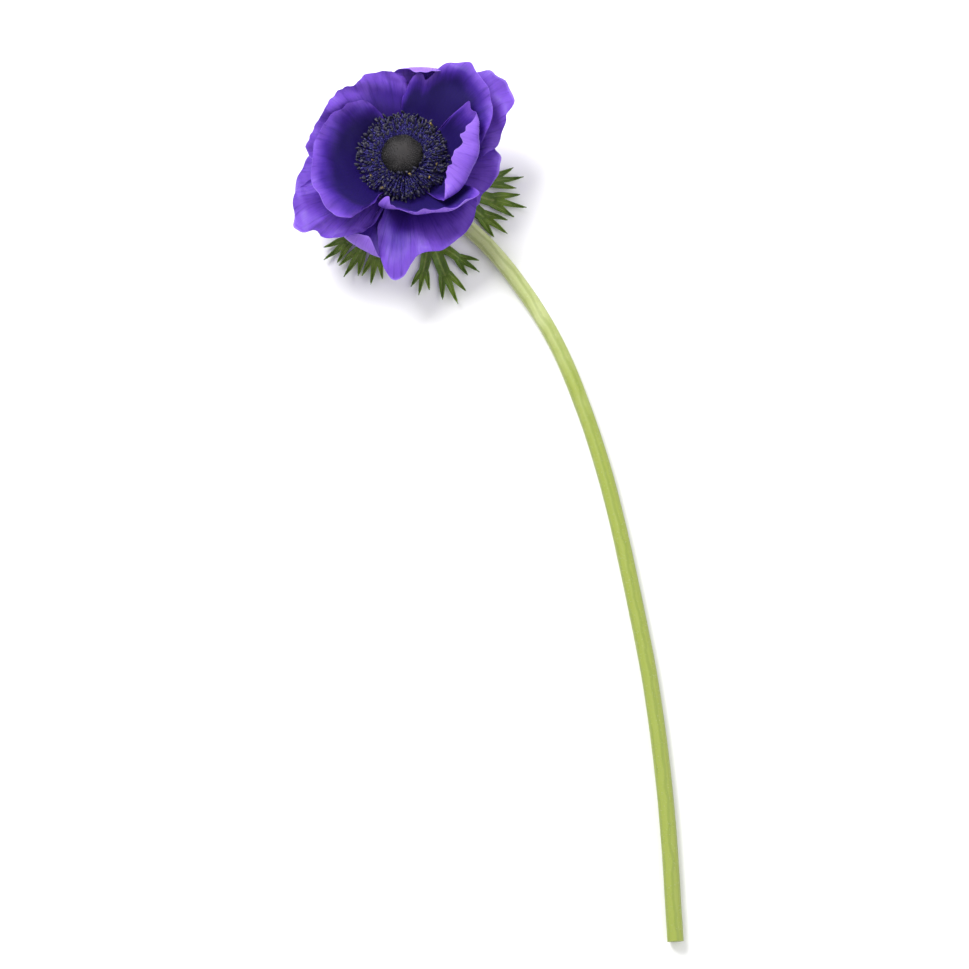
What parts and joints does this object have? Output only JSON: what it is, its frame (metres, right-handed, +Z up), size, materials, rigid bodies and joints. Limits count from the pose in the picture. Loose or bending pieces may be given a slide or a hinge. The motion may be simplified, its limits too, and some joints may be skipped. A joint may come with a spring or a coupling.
{
  "type": "cut anemone flower",
  "caption": "Cut anemone lying face up: open violet-blue flower with a dark ring of stamens round a felted dome, a collar of divided leaves and a long bent stem.",
  "frame": {"origin": "the middle of the flower's box, on the surface it lies on", "axes": "+Z up from the surface, +Y from the cut end of the stem towards the flower, +X to the right of the flower seen from above with the stem towards the viewer"},
  "size_m": [0.1424, 0.328, 0.0404],
  "materials": {
    "petal": "soft matt plant tissue, violet-blue, paler at the margins and on the back",
    "stamen": "blue-black, dusty",
    "seed_head": "near-black felt of fine styles",
    "leaf": "matt green leaf with fine veins",
    "stem": "pale green, finely hairy, slightly ribbed"
  },
  "bodies": {
    "root": {"petal_inner_left": "petal", "petal_inner_right": "petal", "petal_inner_front": "petal", "petal_inner_rear": "petal", "petal_upper_left": "petal", "petal_outer_left": "petal", "petal_outer_rear": "petal", "petal_outer_right": "petal", "petal_outer_front": "petal", "petal_under_right": "petal", "petal_under_left": "petal", "petal_under_front": "petal", "leaf_front": "leaf", "leaf_right": "leaf", "leaf_left": "leaf", "stem": "stem", "stamens": "stamen", "seed_head": "seed_head"}
  },
  "joints": []
}
